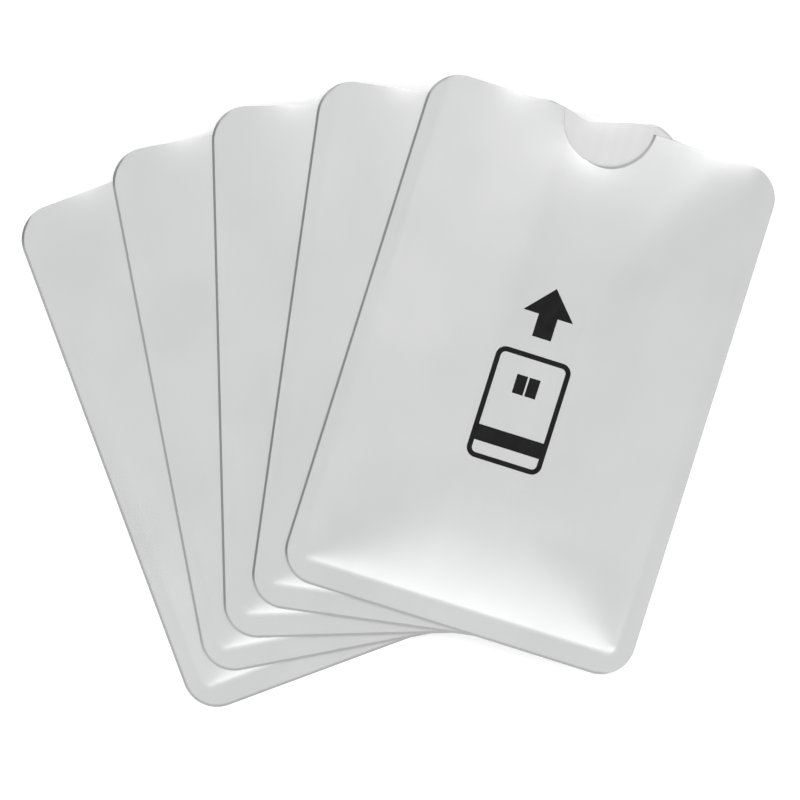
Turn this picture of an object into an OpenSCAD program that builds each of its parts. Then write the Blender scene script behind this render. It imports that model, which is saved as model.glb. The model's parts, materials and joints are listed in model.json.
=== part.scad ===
// A fanned set of card sleeves. Each sleeve is two laminated panels, sealed together along
// both long sides and one end and open at the other end, which is the mouth.
// Lengths are in millimetres. A sleeve's own frame has its back panel flat on z = 0, its left
// edge on x = 0, its sealed end on y = 0 and its mouth at y = sleeve_l.

/* [Sleeve] */
// Number of sleeves in the set, the top one first
sleeve_count = 5; // [1:1:6]
// Width of a sleeve, across the card
sleeve_w = 63; // [60:0.5:80]
// Length of a sleeve, from the sealed end to the mouth
sleeve_l = 92; // [74:0.5:120]
// Radius of a sleeve's four corners
corner_r = 6; // [3:0.25:9]
// Radius of the thumb notch in the front panel's mouth edge
notch_r = 8; // [5:0.25:12]

/* [Pocket] */
// Width of the sealed seam along each long side
side_seam_w = 3; // [2:0.25:5]
// Width of the sealed seam across the closed end
end_seam_w = 4; // [2:0.25:8]
// Width of the slope from a seam up to the flat of the front panel
shoulder_w = 1.5; // [0.75:0.25:3]
// Radius of the raised flat's two corners at the closed end
flat_r = 2.5; // [1:0.25:5]
// Clear height inside the pocket, for a card 0.76 thick
pocket_gap = 0.9; // [0.8:0.05:1.6]

/* [Laminate] */
// Thickness of the outer film
film_t = 0.06; // [0.04:0.01:0.12]
// Thickness of the shielding foil
foil_t = 0.02; // [0.02:0.01:0.05]
// Thickness of the inner liner
liner_t = 0.08; // [0.05:0.01:0.15]
// Thickness of the weld between the two liners in a seam
weld_t = 0.04; // [0.02:0.01:0.1]
// Thickness of the printed ink
ink_t = 0.02; // [0.02:0.01:0.05]
// Width of the scores through the front liner, along its creases
score_w = 0.02; // [0.01:0.01:0.1]

/* [Print] */
// Distance of the print's middle from the sealed end
print_y = 45.5; // [35:0.5:60]
// Width of the printed card outline
sign_w = 13.5; // [10:0.5:20]
// Length of the printed card outline
sign_l = 20; // [14:0.5:24]
// Width of a printed line
line_w = 0.9; // [0.5:0.1:1.5]
// Length of the printed arrow, which points to the mouth
arrow_l = 9; // [6:0.5:14]
// Space between the printed outline and the arrow
sign_gap = 3; // [1:0.5:6]

/* [Fan] */
// Turn from one sleeve to the next, in degrees
fan_step = 9.46; // [0:0.01:12]
// Lean of the bottom sleeve to the left, in degrees
bottom_lean = 20.36; // [-30:0.01:45]
// Distance of the fan's centre from a sleeve's left edge
fan_in = 37.8; // [0:0.1:63]
// Distance of the fan's centre beyond a sleeve's sealed end
fan_below = 22.3; // [-60:0.1:60]
// Free height between one sleeve and the next
pile_clearance = 0.06; // [0.04:0.01:0.5]

/* [Hidden] */
PIECES = ["front_film", "front_foil", "front_liner", "back_film", "back_foil", "back_liner",
          "left_seam", "right_seam", "end_seam", "print"];
$fn = 64;
film_colour = "silver";
foil_colour = "gainsboro";
liner_colour = "lightgray";
seam_colour = "darkgray";
ink_colour = "black";

// Heights in one sleeve, from the back panel up
back_foil_z = film_t;
back_liner_z = back_foil_z + foil_t;
seam_z = back_liner_z + liner_t;
front_liner_z = seam_z + weld_t;
front_foil_z = front_liner_z + liner_t;
front_film_z = front_foil_z + foil_t;
flat_rise = pocket_gap - weld_t;
ink_z = front_film_z + flat_rise + film_t;
sleeve_h = ink_z + ink_t;
pile_pitch = sleeve_h + pile_clearance;

// The pocket's corner centres, and the sleeve's middle line
pocket_r = flat_r + shoulder_w;
middle_x = sleeve_w / 2;
left_corner = [side_seam_w + pocket_r, end_seam_w + pocket_r];
right_corner = [sleeve_w - side_seam_w - pocket_r, end_seam_w + pocket_r];

// The printed sign, from its lowest point up
sign_y = print_y - (sign_l + sign_gap + arrow_l) / 2;
arrow_y = sign_y + sign_l + sign_gap;
sign_r = 1.8;
stripe_l = 2.8;
stripe_up = 3;
chip_w = 4.2;
chip_l = 3.4;
chip_down = 4;
arrow_w = 9;
arrow_head_l = 5;
arrow_stem_w = 3.4;

// The fan: how far each sleeve leans, and where the whole set's middle comes to lie
function lean(k) = bottom_lean - (sleeve_count - k) * fan_step;
function turned(p, a) = [p.x * cos(a) - p.y * sin(a), p.x * sin(a) + p.y * cos(a)];
function corner_centres(w, l, r) = [[r, r], [w - r, r], [w - r, l - r], [r, l - r]];
fan_corners = [for (k = [1:sleeve_count], c = corner_centres(sleeve_w, sleeve_l, corner_r))
    turned(c + [-fan_in, fan_below], lean(k))];
fan_xs = [for (c = fan_corners) c.x];
fan_ys = [for (c = fan_corners) c.y];
set_middle = [(min(fan_xs) + max(fan_xs)) / 2, (min(fan_ys) + max(fan_ys)) / 2];

// Puts a piece of sleeve k in its place in the pile, with the set's middle over the origin
module in_fan(k) {
    translate([-set_middle.x, -set_middle.y, (sleeve_count - k) * pile_pitch])
        rotate(lean(k))
            translate([-fan_in, fan_below, 0])
                children();
}

module rounded_rectangle(w, l, r) {
    translate([r, 0]) square([w - 2 * r, l]);
    translate([0, r]) square([w, l - 2 * r]);
    for (c = corner_centres(w, l, r))
        translate(c) circle(r);
}

module sleeve_outline() {
    rounded_rectangle(sleeve_w, sleeve_l, corner_r);
}

// The pocket seen from above, drawn in by inset on its three closed sides
module pocket_outline(inset) {
    low_x = side_seam_w + inset;
    high_x = sleeve_w - side_seam_w - inset;
    translate([low_x, left_corner.y])
        square([high_x - low_x, sleeve_l - left_corner.y]);
    translate([left_corner.x, end_seam_w + inset])
        square([right_corner.x - left_corner.x, sleeve_l - end_seam_w - inset]);
    for (c = [left_corner, right_corner])
        translate(c) circle(pocket_r - inset);
}

module seam_outline() {
    difference() {
        sleeve_outline();
        pocket_outline(0);
    }
}

// A slope of one layer, rising along x from a seam to the flat
module slope_profile(t) {
    polygon([[0, 0], [shoulder_w, flat_rise], [shoulder_w, flat_rise + t], [0, t]]);
}

module side_slope(t) {
    translate([side_seam_w, sleeve_l, 0])
        rotate([90, 0, 0])
            linear_extrude(sleeve_l - left_corner.y) slope_profile(t);
}

module end_slope(t) {
    translate([left_corner.x, end_seam_w, 0])
        rotate([90, 0, 90])
            linear_extrude(right_corner.x - left_corner.x) slope_profile(t);
}

module corner_slope(centre, start, t) {
    translate(centre)
        rotate(start)
            rotate_extrude(angle = 90)
                translate([pocket_r, 0]) mirror([1, 0]) slope_profile(t);
}

// One layer of the front panel: a flat seam, a slope, and a raised flat with the thumb notch
module front_layer(z, t) {
    translate([0, 0, z])
        difference() {
            intersection() {
                linear_extrude(flat_rise + t) sleeve_outline();
                union() {
                    linear_extrude(t) seam_outline();
                    side_slope(t);
                    translate([sleeve_w, 0, 0]) mirror([1, 0, 0]) side_slope(t);
                    end_slope(t);
                    corner_slope(left_corner, 180, t);
                    corner_slope(right_corner, 270, t);
                    translate([0, 0, flat_rise]) linear_extrude(t) pocket_outline(shoulder_w);
                }
            }
            translate([middle_x, sleeve_l, 0]) cylinder(h = flat_rise + 2 * t, r = notch_r);
        }
}

// The lines along which the front liner is scored: round the raised flat, and out from its corners
module score_outline() {
    difference() {
        pocket_outline(shoulder_w);
        pocket_outline(shoulder_w + score_w);
    }
    for (c = [left_corner, right_corner])
        translate([c.x - score_w / 2, 0]) square([score_w, end_seam_w + shoulder_w]);
    for (x = [0, sleeve_w - side_seam_w - shoulder_w])
        translate([x, left_corner.y - score_w / 2]) square([side_seam_w + shoulder_w, score_w]);
}

// One layer of the back panel, which is flat and has no notch
module back_layer(z, t) {
    translate([0, 0, z]) linear_extrude(t) sleeve_outline();
}

// The part of the weld that lies between two distances from the left edge
module weld(from_x, to_x) {
    translate([0, 0, seam_z])
        linear_extrude(weld_t)
            intersection() {
                seam_outline();
                translate([from_x, 0]) square([to_x - from_x, sleeve_l]);
            }
}

module card_sign() {
    translate([middle_x - sign_w / 2, sign_y])
        difference() {
            rounded_rectangle(sign_w, sign_l, sign_r);
            translate([line_w, line_w])
                rounded_rectangle(sign_w - 2 * line_w, sign_l - 2 * line_w, sign_r - line_w);
        }
    translate([middle_x - sign_w / 2 + line_w / 2, sign_y + stripe_up])
        square([sign_w - line_w, stripe_l]);
    translate([middle_x - chip_w / 2, sign_y + sign_l - chip_down - chip_l])
        difference() {
            square([chip_w, chip_l]);
            translate([(chip_w - line_w / 3) / 2, 0]) square([line_w / 3, chip_l]);
        }
}

module arrow_sign() {
    translate([middle_x, arrow_y])
        polygon([[-arrow_stem_w / 2, 0], [arrow_stem_w / 2, 0],
                 [arrow_stem_w / 2, arrow_l - arrow_head_l], [arrow_w / 2, arrow_l - arrow_head_l],
                 [0, arrow_l], [-arrow_w / 2, arrow_l - arrow_head_l],
                 [-arrow_stem_w / 2, arrow_l - arrow_head_l]]);
}

module front_film() {
    color(film_colour) front_layer(front_film_z, film_t);
}

module front_foil() {
    color(foil_colour) front_layer(front_foil_z, foil_t);
}

module front_liner() {
    color(liner_colour)
        difference() {
            front_layer(front_liner_z, liner_t);
            translate([0, 0, front_liner_z])
                linear_extrude(flat_rise + 2 * liner_t) score_outline();
        }
}

module back_film() {
    color(film_colour) back_layer(0, film_t);
}

module back_foil() {
    color(foil_colour) back_layer(back_foil_z, foil_t);
}

module back_liner() {
    color(liner_colour) back_layer(back_liner_z, liner_t);
}

module left_seam() {
    color(seam_colour) weld(0, side_seam_w);
}

module right_seam() {
    color(seam_colour) weld(sleeve_w - side_seam_w, sleeve_w);
}

module end_seam() {
    color(seam_colour) weld(side_seam_w, sleeve_w - side_seam_w);
}

// A plain sign on the front panel: a card, and an arrow to the mouth
module print() {
    color(ink_colour)
        translate([0, 0, ink_z])
            linear_extrude(ink_t) {
                card_sign();
                arrow_sign();
            }
}

for (k = [1:sleeve_count]) {
    in_fan(k) front_film();
    in_fan(k) front_foil();
    in_fan(k) front_liner();
    in_fan(k) back_film();
    in_fan(k) back_foil();
    in_fan(k) back_liner();
    in_fan(k) left_seam();
    in_fan(k) right_seam();
    in_fan(k) end_seam();
    in_fan(k) print();
}
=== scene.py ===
import json
import math

import bmesh
import bpy
from mathutils import Matrix, Vector

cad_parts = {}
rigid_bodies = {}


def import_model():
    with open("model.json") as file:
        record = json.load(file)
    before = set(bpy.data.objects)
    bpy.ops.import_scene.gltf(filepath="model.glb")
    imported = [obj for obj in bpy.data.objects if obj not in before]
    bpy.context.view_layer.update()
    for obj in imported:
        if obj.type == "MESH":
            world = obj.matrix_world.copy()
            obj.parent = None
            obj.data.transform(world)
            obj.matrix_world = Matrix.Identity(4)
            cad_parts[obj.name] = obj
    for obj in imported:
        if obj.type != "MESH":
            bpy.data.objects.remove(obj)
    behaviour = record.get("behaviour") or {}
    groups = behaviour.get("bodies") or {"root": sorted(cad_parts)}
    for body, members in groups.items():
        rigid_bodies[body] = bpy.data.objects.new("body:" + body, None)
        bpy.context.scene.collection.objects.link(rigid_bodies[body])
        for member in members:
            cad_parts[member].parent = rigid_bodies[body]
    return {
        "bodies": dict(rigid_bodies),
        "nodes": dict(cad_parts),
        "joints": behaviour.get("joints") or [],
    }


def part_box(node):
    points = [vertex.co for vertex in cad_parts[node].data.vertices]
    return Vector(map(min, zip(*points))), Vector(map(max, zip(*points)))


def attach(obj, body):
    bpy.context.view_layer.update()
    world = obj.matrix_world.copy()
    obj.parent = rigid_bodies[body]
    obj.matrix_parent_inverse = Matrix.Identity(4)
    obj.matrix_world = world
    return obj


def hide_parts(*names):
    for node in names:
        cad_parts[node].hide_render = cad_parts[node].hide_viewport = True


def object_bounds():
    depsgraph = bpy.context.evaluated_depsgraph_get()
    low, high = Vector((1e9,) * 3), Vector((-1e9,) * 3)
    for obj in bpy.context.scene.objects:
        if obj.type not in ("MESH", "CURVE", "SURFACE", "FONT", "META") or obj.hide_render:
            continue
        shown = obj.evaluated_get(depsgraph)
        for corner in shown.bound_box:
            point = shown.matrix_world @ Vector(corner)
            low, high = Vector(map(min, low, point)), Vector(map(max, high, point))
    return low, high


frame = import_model()
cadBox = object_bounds()

mm = 0.001  # one millimetre; sizes in the dictionaries are in millimetres

# Where the sleeves lie

sleeve = {
    "width": 63.0,
    "length": 92.0,
    "cornerRadius": 6.0,
    "notchRadius": 8.0,
    "sideSeam": 3.0,
    "endSeam": 4.0,
    "creaseRadius": 1.5,
}
middleX = sleeve["width"] / 2
notchLow = sleeve["length"] - sleeve["notchRadius"]

fan = {
    "step": 9.46,  # turn from one sleeve to the next, in degrees
    "bottomLean": 20.36,  # lean of the bottom sleeve to the left
    "centreIn": 37.8,  # the fan's centre from a sleeve's left edge
    "centreBelow": 22.3,  # and beyond its sealed end
}
sleeveCount = len(frame["bodies"])
fanCentre = Vector(frame["joints"][0]["pos_m"])


def placeInFan(k):
    lean = math.radians(fan["bottomLean"] - (sleeveCount - k) * fan["step"])
    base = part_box(f"back_film_{k}")[0].z
    fromCentre = Matrix.Translation((-fan["centreIn"] * mm, fan["centreBelow"] * mm, 0))
    toPlace = Matrix.Translation((fanCentre.x, fanCentre.y, base))
    return toPlace @ Matrix.Rotation(lean, 4, "Z") @ fromCentre


def thickness(node):
    low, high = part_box(node)
    return (high.z - low.z) / mm


# Node groups and materials


def newMaterial(name, values):
    material = bpy.data.materials.new(name)
    material.use_nodes = True
    shader = material.node_tree.nodes["Principled BSDF"]
    for socket, value in values.items():
        shader.inputs[socket].default_value = value
    return material, material.node_tree, shader


def addNode(tree, kind, inputs=None, **settings):
    node = tree.nodes.new(kind)
    for name, value in settings.items():
        setattr(node, name, value)
    for socket, value in (inputs or {}).items():
        if isinstance(value, bpy.types.NodeSocket):
            tree.links.new(value, node.inputs[socket])
        else:
            node.inputs[socket].default_value = value
    return node


webNoise = {  # rolled film or foil: soft blotches, long faint streaks and a fine grain
    "Blotch": {"scale": 60.0, "detail": 2.0, "roughness": 0.45, "stretch": (1.0, 1.0, 1.0)},
    "Streak": {"scale": 700.0, "detail": 3.0, "roughness": 0.5, "stretch": (1.0, 0.04, 1.0)},
    "Grain": {"scale": 9000.0, "detail": 2.0, "roughness": 0.6, "stretch": (1.0, 1.0, 1.0)},
}
noiseSpan = (0.3, 0.7)  # nearly all of a noise's values lie between these


def makeWebGroup():
    group = bpy.data.node_groups.new("rolledWeb", "ShaderNodeTree")
    group.interface.new_socket("Vector", in_out="INPUT", socket_type="NodeSocketVector")
    for name, noise in webNoise.items():
        scale = group.interface.new_socket(f"{name} Scale", in_out="INPUT", socket_type="NodeSocketFloat")
        scale.default_value = noise["scale"]
        group.interface.new_socket(name, in_out="OUTPUT", socket_type="NodeSocketFloat")
    given = addNode(group, "NodeGroupInput").outputs
    out = addNode(group, "NodeGroupOutput").inputs
    for name, noise in webNoise.items():
        place = addNode(group, "ShaderNodeMapping", {"Vector": given["Vector"], "Scale": noise["stretch"]})
        wave = addNode(group, "ShaderNodeTexNoise", {
            "Vector": place.outputs["Vector"],
            "Scale": given[f"{name} Scale"],
            "Detail": noise["detail"],
            "Roughness": noise["roughness"],
        })
        group.links.new(wave.outputs["Fac"], out[name])
    return group


webGroup = makeWebGroup()


def addWeb(tree, place, scales):
    web = addNode(tree, "ShaderNodeGroup", node_tree=webGroup)
    tree.links.new(place, web.inputs["Vector"])
    for name, scale in scales.items():
        web.inputs[name].default_value = scale
    return web.outputs


def planPlace(tree):
    return addNode(tree, "ShaderNodeUVMap", uv_map="plan").outputs["UV"]


def objectPlace(tree):
    return addNode(tree, "ShaderNodeTexCoord").outputs["Object"]


def spread(tree, value, low, high):
    # stretches a noise's values over low to high
    node = addNode(tree, "ShaderNodeMapRange", {
        "Value": value,
        "From Min": noiseSpan[0],
        "From Max": noiseSpan[1],
        "To Min": low,
        "To Max": high,
    })
    return node.outputs["Result"]


def setTones(tree, shader, look, share):
    tones = {"Factor": share, "A": look["dark"], "B": look["light"]}
    colour = addNode(tree, "ShaderNodeMix", tones, data_type="RGBA")
    tree.links.new(colour.outputs["Result"], shader.inputs["Base Color"])


filmLook = {
    "shader": {"Metallic": 1.0},
    "dark": (0.635, 0.637, 0.640, 1),
    "light": (0.675, 0.676, 0.678, 1),
    "clouds": (0.1, 0.9),  # where the blotches lie between dark and light
    "streaks": (-0.125, 0.125),  # and what the streaks add to that
    "roughness": (0.2, 0.24),
    "cloudScales": {"Blotch Scale": 70.0},
    "webScales": {"Streak Scale": 90.0, "Grain Scale": 900.0},
    "grainHeight": 0.0008,
}


def makeFilm():
    material, tree, shader = newMaterial("outerFilm", filmLook["shader"])
    web = addWeb(tree, planPlace(tree), filmLook["webScales"])
    clouds = addWeb(tree, objectPlace(tree), filmLook["cloudScales"])
    share = addNode(tree, "ShaderNodeMath", {
        0: spread(tree, clouds["Blotch"], *filmLook["clouds"]),
        1: spread(tree, web["Streak"], *filmLook["streaks"]),
    }, operation="ADD")
    setTones(tree, shader, filmLook, share.outputs[0])
    tree.links.new(spread(tree, web["Grain"], *filmLook["roughness"]), shader.inputs["Roughness"])
    grain = {"Height": web["Grain"], "Strength": 1.0, "Distance": filmLook["grainHeight"] * mm}
    bump = addNode(tree, "ShaderNodeBump", grain)
    tree.links.new(bump.outputs["Normal"], shader.inputs["Normal"])
    return material


def makeTwoTone(name, look, place):
    # the mix of the two tones follows one of the web's values, and the roughness another or the same
    material, tree, shader = newMaterial(name, look["shader"])
    web = addWeb(tree, place(tree), look["scales"])
    setTones(tree, shader, look, spread(tree, web[look["toneFrom"]], 0, 1))
    tree.links.new(spread(tree, web[look["glossFrom"]], *look["roughness"]), shader.inputs["Roughness"])
    return material


linerLook = {
    "shader": {"Metallic": 0.75},
    "dark": (0.585, 0.585, 0.585, 1),
    "light": (0.61, 0.61, 0.61, 1),
    "roughness": (0.3, 0.36),
    "scales": {"Streak Scale": 60.0, "Grain Scale": 700.0},
    "toneFrom": "Streak",
    "glossFrom": "Grain",
}

foilLook = {
    "shader": {"Metallic": 1.0},
    "dark": (0.80, 0.80, 0.81, 1),
    "light": (0.88, 0.88, 0.89, 1),
    "roughness": (0.2, 0.3),
    "scales": {"Streak Scale": 150.0},
    "toneFrom": "Streak",
    "glossFrom": "Streak",
}

weldLook = {
    "shader": {"Metallic": 0.3},
    "dark": (0.42, 0.42, 0.43, 1),
    "light": (0.56, 0.56, 0.57, 1),
    "roughness": (0.4, 0.55),
    "scales": {"Blotch Scale": 300.0, "Grain Scale": 4000.0},
    "toneFrom": "Blotch",
    "glossFrom": "Grain",
}

inkLook = {
    "shader": {"Specular IOR Level": 0.15},
    "dark": (0.003, 0.003, 0.003, 1),
    "light": (0.008, 0.008, 0.008, 1),
    "roughness": (0.5, 0.62),
    "scales": {"Blotch Scale": 500.0, "Grain Scale": 9000.0},
    "toneFrom": "Blotch",
    "glossFrom": "Grain",
}

filmMaterial = makeFilm()
linerMaterial = makeTwoTone("innerLiner", linerLook, planPlace)
foilMaterial = makeTwoTone("shieldingFoil", foilLook, planPlace)
weldMaterial = makeTwoTone("seamWeld", weldLook, objectPlace)
inkMaterial = makeTwoTone("printedInk", inkLook, objectPlace)
print("materials made")

# The sheets' grid: denser near the seams, the mouth and the notch

rim = {  # the cut edge is pressed down along the left and bottom edges, and on the right side of the notch
    "width": 0.42,
    "kept": 0.05,  # share of the thickness that remains at the cut edge
    "fadeRight": (0.2, 0.6),  # the press fades out while the edge turns right by this much,
    "fadeUp": (0.7, 1.0),  # up to the mouth by this much,
    "fadeNotch": (-0.4, 0.3),  # and right by this much in the notch
    "leastShare": 0.03,  # a weaker press isn't made
    "slack": 0.01,  # so that the line at the rim's inner side counts with it
}

grid = {
    "across": (4, 6, 14, 12, 4, 14),  # cells between the stops from the left edge to the middle
    "wideAcross": 8.0,  # the stop where they grow wider
    "up": (4, 8, 24, 14, 18, 18, 4, 18, 4),  # cells between the stops from the sealed end to the mouth
    "wideUp": (14.0, 30.0, 65.0),
    "planWidth": 100.0,  # what the UV map takes in each way
    "sharpTurn": 14.0,  # an edge that turns by more degrees than this stays sharp
}


def gridLines(stops, cells, coarse):
    lines = [stops[0]]
    for start, end, count in zip(stops, stops[1:], cells):
        count //= coarse
        lines += [start + (end - start) * i / count for i in range(1, count + 1)]
    return lines


def columnLines(coarse):
    notchLeft = middleX - sleeve["notchRadius"]
    stops = [0, rim["width"], sleeve["sideSeam"], grid["wideAcross"], notchLeft - rim["width"], notchLeft,
             middleX]
    leftHalf = gridLines(stops, grid["across"], coarse)
    return leftHalf + [sleeve["width"] - x for x in reversed(leftHalf[:-1])]


def rowLines(coarse):
    mouth = sleeve["length"]
    stops = [0, rim["width"], sleeve["endSeam"], *grid["wideUp"], notchLow - rim["width"], notchLow,
             mouth - rim["width"], mouth]
    return gridLines(stops, grid["up"], coarse)


def makeGrid(front, coarse):
    # the sleeve's rectangle from level -1 to 0, with a square hole in the front where the notch goes
    columns, rows = columnLines(coarse), rowLines(coarse)
    half = 0.5
    bm = bmesh.new()
    bmesh.ops.create_grid(bm, x_segments=len(columns) - 1, y_segments=len(rows) - 1, size=half)
    for v in bm.verts:
        column = round((v.co.x + half) * (len(columns) - 1))
        row = round((v.co.y + half) * (len(rows) - 1))
        v.co.x, v.co.y = columns[column], rows[row]
    if front:
        r = sleeve["notchRadius"]
        centres = [(f, f.calc_center_median()) for f in bm.faces]
        hole = [f for f, c in centres if abs(c.x - middleX) < r and c.y > notchLow]
        bmesh.ops.delete(bm, geom=hole, context="FACES")
    bmesh.ops.solidify(bm, geom=bm.faces[:], thickness=1)
    return bm


# Where the grid's points go


def ease(t):
    t = min(1, max(0, t))
    return t * t * (3 - 2 * t)


def fadeIn(value, start, end):
    return ease((value - start) / (end - start))


def fadeOut(value, start, end):
    return 1 - fadeIn(value, start, end)


def roundCorners(x, y):
    # pulls the grid's square corners in to arcs, keeping each line's distance from the edge
    r = sleeve["cornerRadius"]
    middleY = sleeve["length"] / 2
    outX = max(r - x, x - (sleeve["width"] - r))
    outY = max(r - y, y - (sleeve["length"] - r))
    if outX <= 0 or outY <= 0:
        return x, y
    pull = 1 - max(outX, outY) / math.hypot(outX, outY)
    return x + math.copysign(outX * pull, middleX - x), y + math.copysign(outY * pull, middleY - y)


def roundNotch(x, y):
    # pulls the square hole round, and the lines about it less and less, out to twice its radius
    r = sleeve["notchRadius"]
    a, b = x - middleX, y - sleeve["length"]
    square, away = max(abs(a), -b), math.hypot(a, b)
    if away == 0 or square >= 2 * r:
        return x, y
    share = ease(square / r - 1)
    scale = (1 - share) * square / away + share
    return middleX + a * scale, sleeve["length"] + b * scale


def outline(x, y):
    # how far inside the outline a point lies, and how far that edge faces right and up
    r = sleeve["cornerRadius"]
    inX = min(x, sleeve["width"] - x)
    inY = min(y, sleeve["length"] - y)
    right = -1 if x < middleX else 1
    up = -1 if y < sleeve["length"] / 2 else 1
    if inX < r and inY < r:
        away = math.hypot(r - inX, r - inY)
        return r - away, right * (r - inX) / away, up * (r - inY) / away
    return (inY, 0, up) if inY < inX else (inX, right, 0)


def notchEdge(x, y):
    # how far outside the notch a point lies, and how far that edge faces right and up
    away = math.hypot(x - middleX, y - sleeve["length"])
    return away - sleeve["notchRadius"], (middleX - x) / away, (sleeve["length"] - y) / away


def seamDistance(x, y):
    # how far inside the pocket a point lies; the seams are below 0
    r = sleeve["creaseRadius"]
    inX = min(x, sleeve["width"] - x) - sleeve["sideSeam"]
    inY = y - sleeve["endSeam"]
    if inX < r and inY < r:
        return r - math.hypot(r - inX, r - inY)
    return min(inX, inY)


def pressRim(x, y, front):
    # gives the point's place and the share of the thickness that remains there; as the press fades out,
    # the rim's lines close up to the edge
    near, right, up = outline(x, y)
    edges = [(near, right, up, fadeOut(right, *rim["fadeRight"]) * fadeOut(up, *rim["fadeUp"]))]
    if front:
        near, right, up = notchEdge(x, y)
        edges.append((near, right, up, fadeOut(right, *rim["fadeNotch"])))
    press = 0
    for near, right, up, share in edges:
        within = 1 - near / rim["width"]
        if within > -rim["slack"] and share > rim["leastShare"]:
            x += right * near * (1 - share)
            y += up * near * (1 - share)
            press = max(press, share * min(1, within))
    return x, y, 1 - (1 - rim["kept"]) * press


flatRise = thickness("front_film_1") - thickness("back_film_1")  # from the seam up to the raised flat
pillow = {  # the empty sleeve's front panel, from its creases up to the raised flat
    "endReach": 26.0,  # how far the slope above the end seam runs, and how fast it levels out
    "endPower": 2.1,
    "leftReach": 21.5,
    "leftPower": 1.15,
    "rightReach": (21.5, 9.0),  # in the middle and towards both ends
    "rightPower": 1.7,
    "cornerReach": 16.0,  # how far up from the end seam the right slope's reach changes
    "lipStart": 62.0,  # where the panel begins to fall towards the mouth
    "lipFall": (0.32, 0.94),  # share of the height lost there, at the left and the right
    "lipPower": 1.85,
    "mouthCurls": ((14.0, 4.0, 0.08, 2.1), (53.5, 7.5, 0.12, 3.0)),  # place, half width, depth, reach down
    "notchCurl": 0.125,
    "notchCurlReach": 2.6,
    "notchCurlSide": 230.0,  # degrees round the notch where the curl is strongest
    "curlIn": 4.0,  # the curls reach their depth this far in from the creases
}


def slopeShare(distance, reach, power):
    return 1 - max(0, 1 - distance / reach) ** power


def mouthCurl(x, y):
    down = sleeve["length"] - y
    return sum(depth * math.exp(-((x - at) / wide) ** 2 - down / reach)
               for at, wide, depth, reach in pillow["mouthCurls"])


def notchCurl(x, y):
    turn = math.atan2(y - sleeve["length"], x - middleX) - math.radians(pillow["notchCurlSide"])
    facing = (0.5 + 0.5 * math.cos(turn)) ** 2
    fall = math.exp(-max(0, notchEdge(x, y)[0]) / pillow["notchCurlReach"])
    return pillow["notchCurl"] * facing * fall


def frontRise(x, y):
    inside = seamDistance(x, y)
    if inside <= 0:
        return 0.0
    fromLeft, fromEnd = x - sleeve["sideSeam"], y - sleeve["endSeam"]
    fromRight = sleeve["width"] - sleeve["sideSeam"] - x
    end = slopeShare(fromEnd, pillow["endReach"], pillow["endPower"])
    lip = max(0, y - pillow["lipStart"]) / (sleeve["length"] - pillow["lipStart"])
    wide, narrow = pillow["rightReach"]
    rightReach = wide + (narrow - wide) * max(lip, 1 - fromEnd / pillow["cornerReach"])
    side = min(slopeShare(fromLeft, pillow["leftReach"], pillow["leftPower"]),
               slopeShare(fromRight, rightReach, pillow["rightPower"]))
    crown = 1 / math.sqrt(1 / end ** 2 + 1 / side ** 2 - 1)  # the lower of the two, eased where they meet
    crown *= inside / min(fromLeft, fromRight, fromEnd)
    fallLeft, fallRight = pillow["lipFall"]
    crown *= 1 - (fallLeft + (fallRight - fallLeft) * x / sleeve["width"]) * lip ** pillow["lipPower"]
    curl = (mouthCurl(x, y) + notchCurl(x, y)) * ease(inside / pillow["curlIn"])
    return flatRise * crown - curl


backBow = {  # the back panel's mouth edge, which isn't straight
    "height": 1.3,  # how far it stands out beyond the front's
    "rise": (31.0, 38.5),  # from the left, where it begins to stand out and where it is all out
    "fall": (39.5, 43.5),  # and the same on the way back
    "dip": 1.2,  # how far it falls back behind the notch
    "dipAt": 28.0,
    "dipHalf": 3.0,
    "curl": 0.3,  # how far the panel lifts in the notch
    "curlStart": 84.0,  # the lift, the dip and the way out all begin here
    "curlHalf": 7.0,
}


def pastCurl(y):
    return max(0, (y - backBow["curlStart"]) / (sleeve["length"] - backBow["curlStart"]))


def bowOut(x, y):
    out = backBow["height"] * fadeIn(x, *backBow["rise"]) * fadeOut(x, *backBow["fall"])
    dip = backBow["dip"] * math.exp(-((x - backBow["dipAt"]) / backBow["dipHalf"]) ** 2)
    return (out - dip) * pastCurl(y) ** 2


def backRise(x, y):
    return backBow["curl"] * pastCurl(y) ** 3 * math.exp(-((x - middleX) / backBow["curlHalf"]) ** 2)


# The sheets of each sleeve

film, foil, liner = (thickness(f"back_{layer}_1") for layer in ("film", "foil", "liner"))
weld = thickness("left_seam_1")
backBase = film + foil + liner
frontBase = backBase + weld


def makeSheet(name, low, high, front, coarse):
    bm = makeGrid(front, coarse)
    base = frontBase if front else backBase
    for v in bm.verts:
        x, y = roundCorners(v.co.x, v.co.y)
        if front:
            x, y = roundNotch(x, y)
        x, y, kept = pressRim(x, y, front)
        level = low + (high - low) * (v.co.z + 1)
        rise = frontRise(x, y) if front else backRise(x, y)
        v.co = (x, y if front else y + bowOut(x, y), base + (level - base) * kept + rise)
    plan = bm.loops.layers.uv.new("plan")
    for f in bm.faces:
        f.smooth = True
        for loop in f.loops:
            loop[plan].uv = loop.vert.co.xy / grid["planWidth"]
    bmesh.ops.scale(bm, vec=(mm, mm, mm), verts=bm.verts)
    mesh = bpy.data.meshes.new(name)
    bm.to_mesh(mesh)
    bm.free()
    mesh.set_sharp_from_angle(angle=math.radians(grid["sharpTurn"]))
    return mesh


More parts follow.
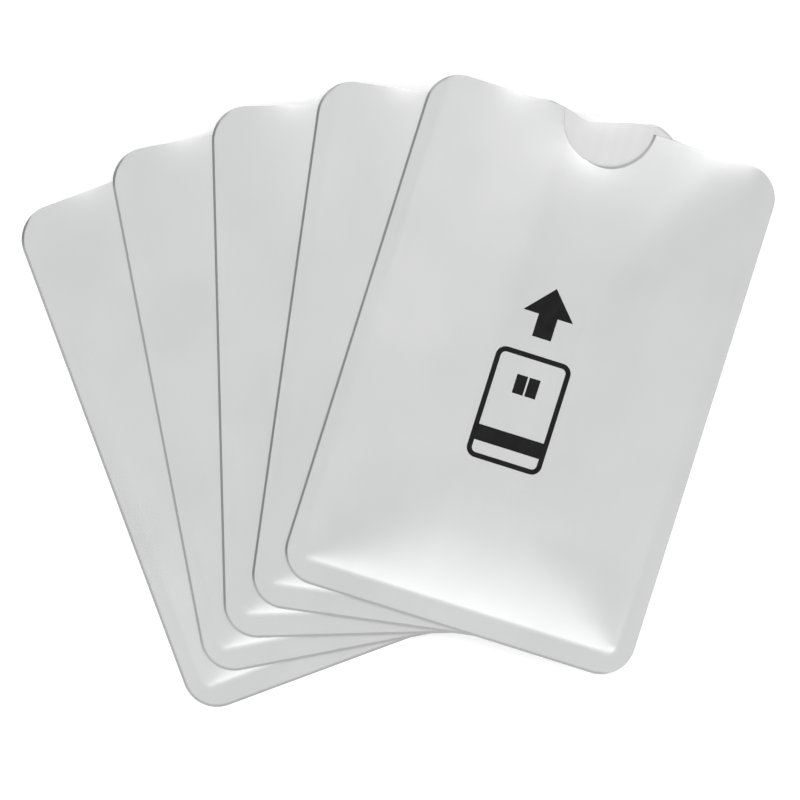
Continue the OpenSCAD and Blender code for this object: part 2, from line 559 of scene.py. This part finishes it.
fine, rough = 1, 2  # how many of the grid's cells make one
layers = {  # name: (lowest and highest level in the seam, on the front, fineness), (node, slot, material)
    "frontFilm": ((frontBase + liner + foil, frontBase + liner + foil + film, True, fine),
                  ("front_film", "outer_film", filmMaterial)),
    "frontFoil": ((frontBase + liner, frontBase + liner + foil, True, rough),
                  ("front_foil", "shielding_foil", foilMaterial)),
    "frontLiner": ((frontBase, frontBase + liner, True, rough),
                   ("front_liner", "inner_liner", linerMaterial)),
    "backLiner": ((film + foil, backBase, False, rough),
                  ("back_liner", "inner_liner", linerMaterial)),
    "backFoil": ((film, film + foil, False, rough),
                 ("back_foil", "shielding_foil", foilMaterial)),
    "backFilm": ((0, film, False, rough),
                 ("back_film", "outer_film", filmMaterial)),
}
sheets = {name: makeSheet(name, *shape) for name, (shape, _) in layers.items()}
print("sheets made:", {name: len(mesh.polygons) for name, mesh in sheets.items()})

for k in range(1, sleeveCount + 1):
    for name, (_, (node, slot, material)) in layers.items():
        mesh = sheets[name].copy()
        mesh.transform(placeInFan(k))
        mesh.materials.append(material)
        piece = bpy.data.objects.new(f"{name}{k}", mesh)
        bpy.context.scene.collection.objects.link(piece)
        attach(piece, f"sleeve_{k}")
        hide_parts(f"{node}_{k}")
for mesh in sheets.values():
    bpy.data.meshes.remove(mesh)
print("sleeves laid out:", sleeveCount)


def dress(node, material):
    mesh = frame["nodes"][node].data
    mesh.materials.clear()
    mesh.materials.append(material)


for k in range(1, sleeveCount + 1):
    for side in ("left", "right", "end"):
        dress(f"{side}_seam_{k}", weldMaterial)
    dress(f"print_{k}", inkMaterial)
print("seams and prints dressed")

# Camera, floor and light

shot = {
    "centre": (0.367, -1.521),  # the picture's middle, from the set's middle
    "width": 138.41,  # what the picture takes in
    "height": 2400.0,  # of the camera over the set's middle
    "sensor": 36.0,
    "farthest": 100.0,  # metres; nothing beyond it is drawn
}


def makeCamera():
    data = bpy.data.cameras.new("camera")
    data.sensor_width = shot["sensor"]
    data.lens = shot["sensor"] * shot["height"] / shot["width"]
    data.clip_end = shot["farthest"]
    camera = bpy.data.objects.new("camera", data)
    middleZ = (cadBox[0].z + cadBox[1].z) / 2
    camera.location = (shot["centre"][0] * mm, shot["centre"][1] * mm, middleZ + shot["height"] * mm)
    bpy.context.scene.collection.objects.link(camera)
    bpy.context.scene.camera = camera


floorLook = {
    "size": 40.0,  # metres
    "drop": 0.02,  # how far the floor lies below the sleeves
    "colour": (0.86, 0.86, 0.86, 1),
    "roughness": 0.9,
    "glow": 0.35,  # so that it shows white
}


def makeFloor():
    bm = bmesh.new()
    bmesh.ops.create_grid(bm, x_segments=1, y_segments=1, size=floorLook["size"] / 2)
    mesh = bpy.data.meshes.new("floor")
    bm.to_mesh(mesh)
    bm.free()
    material, tree, shader = newMaterial("floorPaper", {
        "Base Color": floorLook["colour"],
        "Roughness": floorLook["roughness"],
        "Emission Color": (1, 1, 1, 1),
    })
    rays = addNode(tree, "ShaderNodeLightPath").outputs
    seen = rays["Is Camera Ray"]
    for name in ("Is Glossy Ray", "Is Transmission Ray"):
        seen = addNode(tree, "ShaderNodeMath", {0: seen, 1: rays[name]}, operation="MAXIMUM").outputs[0]
    glow = addNode(tree, "ShaderNodeMath", {0: seen, 1: floorLook["glow"]}, operation="MULTIPLY")
    tree.links.new(glow.outputs[0], shader.inputs["Emission Strength"])
    mesh.materials.append(material)
    floor = bpy.data.objects.new("floor", mesh)
    floor.location.z = cadBox[0].z - floorLook["drop"] * mm
    bpy.context.scene.collection.objects.link(floor)


# The room's brightness in a direction is the across level, by how far the direction leans right, times the
# along level, by how far it leans up the picture, but not under the least level, which goes by the lean up
studio = {
    "across": [(-1.0, 0.75), (-0.82, 0.65), (-0.72, 0.08), (-0.52, 0.08), (-0.4, 0.68), (-0.26, 0.89),
               (-0.06, 0.88), (0.06, 0.87), (0.16, 0.84), (0.6, 0.8), (1.0, 0.6)],
    "along": [(-1.0, 0.3), (-0.8, 0.25), (-0.46, 0.26), (-0.34, 0.98), (-0.23, 0.98), (-0.08, 0.268),
              (0.09, 0.268), (0.205, 1.13), (0.34, 1.13), (0.46, 0.28), (0.8, 0.25), (1.0, 0.3)],
    "least": [(-1.0, 0.22), (-0.3, 0.21), (-0.12, 0.2), (-0.03, 0.09), (0.36, 0.08), (0.5, 0.22),
              (1.0, 0.22)],
    "strength": 2.93,
    "keyStrength": 0.08,
    "keySize": 25.0,  # degrees across
    "keyLean": 42.0,  # degrees to the right of straight up
}


def addRamp(tree, value, stops):
    # a grey level for each lean from -1 to 1
    place = addNode(tree, "ShaderNodeMapRange", {"Value": value, "From Min": -1.0, "From Max": 1.0})
    ramp = addNode(tree, "ShaderNodeValToRGB", {"Fac": place.outputs["Result"]})
    elements = ramp.color_ramp.elements
    while len(elements) < len(stops):
        elements.new(0.5)
    for element, (lean, level) in zip(elements, stops):
        element.position = (lean + 1) / 2
        element.color = (level, level, level, 1)
    return ramp.outputs["Color"]


def blendLevels(tree, first, second, blend):
    levels = {"Factor": 1.0, "A": first, "B": second}
    return addNode(tree, "ShaderNodeMix", levels, data_type="RGBA", blend_type=blend).outputs["Result"]


def makeRoom():
    world = bpy.data.worlds.new("studio")
    bpy.context.scene.world = world
    world.use_nodes = True
    tree = world.node_tree
    direction = addNode(tree, "ShaderNodeTexCoord").outputs["Generated"]
    lean = addNode(tree, "ShaderNodeSeparateXYZ", {"Vector": direction}).outputs
    across = addRamp(tree, lean["X"], studio["across"])
    along = addRamp(tree, lean["Y"], studio["along"])
    least = addRamp(tree, lean["Y"], studio["least"])
    room = blendLevels(tree, blendLevels(tree, across, along, "MULTIPLY"), least, "LIGHTEN")
    background = tree.nodes["Background"]
    tree.links.new(room, background.inputs["Color"])
    background.inputs["Strength"].default_value = studio["strength"]


def makeKey():
    data = bpy.data.lights.new("key", "SUN")
    data.energy = studio["keyStrength"]
    data.angle = math.radians(studio["keySize"])
    key = bpy.data.objects.new("key", data)
    key.rotation_euler = (0, math.radians(studio["keyLean"]), 0)
    bpy.context.scene.collection.objects.link(key)


makeCamera()
makeFloor()
makeRoom()
makeKey()
bpy.context.scene.view_settings.view_transform = "Standard"
print("camera, floor and light made")
